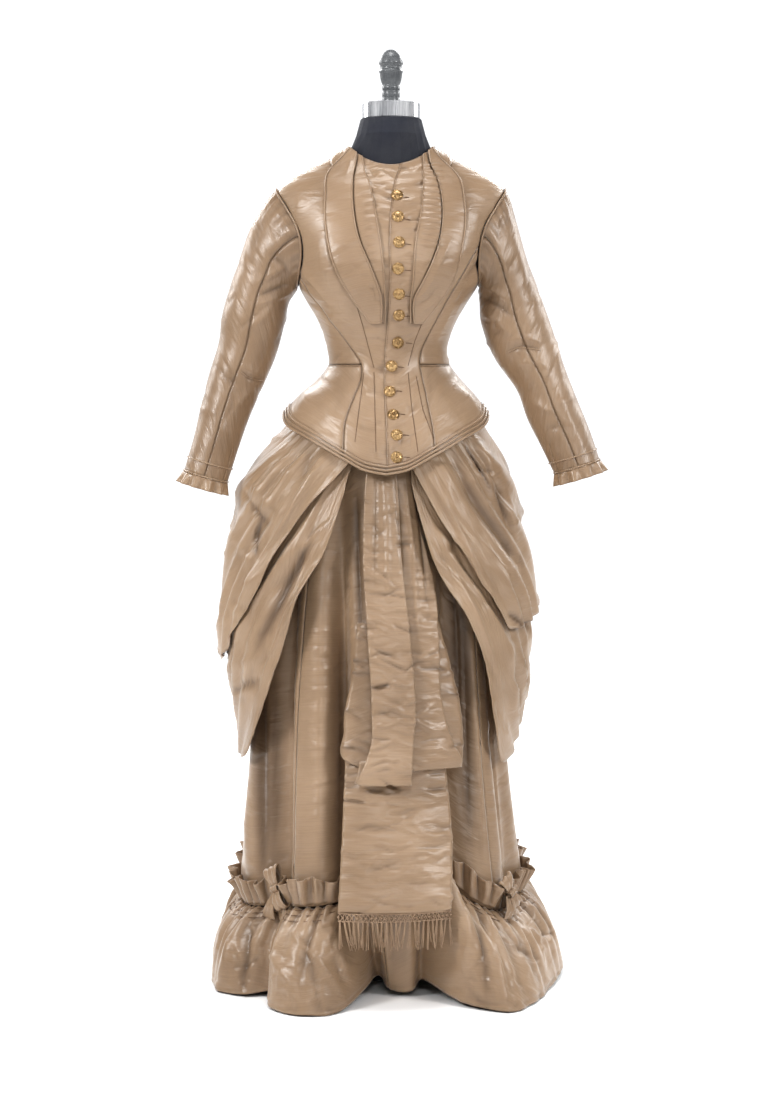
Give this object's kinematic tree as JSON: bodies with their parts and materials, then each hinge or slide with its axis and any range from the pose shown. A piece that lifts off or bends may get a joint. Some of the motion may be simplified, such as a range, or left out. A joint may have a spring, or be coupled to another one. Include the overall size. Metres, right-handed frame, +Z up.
{
  "type": "bustle dress on a dress form",
  "caption": "Silk day dress with buttoned basque bodice, draped overskirt, hanging fringed sash and gathered flounce, on a limbless dress form with a stand.",
  "frame": {"origin": "on the floor under the figure's middle, on the flat underside of the stand's base", "axes": "+Z up, -Y towards the front of the dress, +X towards the wearer's left"},
  "size_m": [0.6898, 0.7275, 1.4849],
  "materials": {
    "silk": "ribbed silk with a soft sheen",
    "silk_edge": "ribbed silk with a soft sheen, a little darker",
    "gilt": "worn gilt",
    "form_cloth": "matt jersey cover",
    "chrome": "polished",
    "grey_knob": "satin grey paint",
    "stand_black": "satin black paint"
  },
  "bodies": {
    "root": {"back_L": "silk", "back_R": "silk", "basque_back_L": "silk", "basque_back_R": "silk", "basque_side_L": "silk", "basque_side_R": "silk", "bow_L": "silk_edge", "bow_R": "silk_edge", "button_01": "gilt", "button_02": "gilt", "button_03": "gilt", "button_04": "gilt", "button_05": "gilt", "button_06": "gilt", "button_07": "gilt", "button_08": "gilt", "button_09": "gilt", "button_10": "gilt", "button_11": "gilt", "button_12": "gilt", "collar": "silk_edge", "cuff_frill_L": "silk_edge", "cuff_frill_R": "silk_edge", "drape_back": "silk", "drape_lower_L": "silk", "drape_lower_R": "silk", "drape_upper_L": "silk_edge", "drape_upper_R": "silk_edge", "finial": "grey_knob", "flounce_L": "silk", "flounce_R": "silk", "flounce_back": "silk", "form_torso": "form_cloth", "front_L": "silk", "front_R": "silk", "neck_band": "chrome", "revers_inner_L": "silk_edge", "revers_inner_R": "silk_edge", "revers_outer_L": "silk_edge", "revers_outer_R": "silk_edge", "ruffle_L": "silk_edge", "ruffle_R": "silk_edge", "sash_fringe": "silk_edge", "sash_loop_back": "silk_edge", "sash_loop_front": "silk", "sash_tail": "silk", "side_back_L": "silk", "side_back_R": "silk", "side_front_L": "silk", "side_front_R": "silk", "sleeve_under_L": "silk", "sleeve_under_R": "silk", "sleeve_upper_L": "silk", "sleeve_upper_R": "silk", "stand_base": "stand_black", "stand_pole": "stand_black", "underskirt_back": "silk", "underskirt_front": "silk", "underskirt_side_L": "silk", "underskirt_side_R": "silk"}
  },
  "joints": []
}
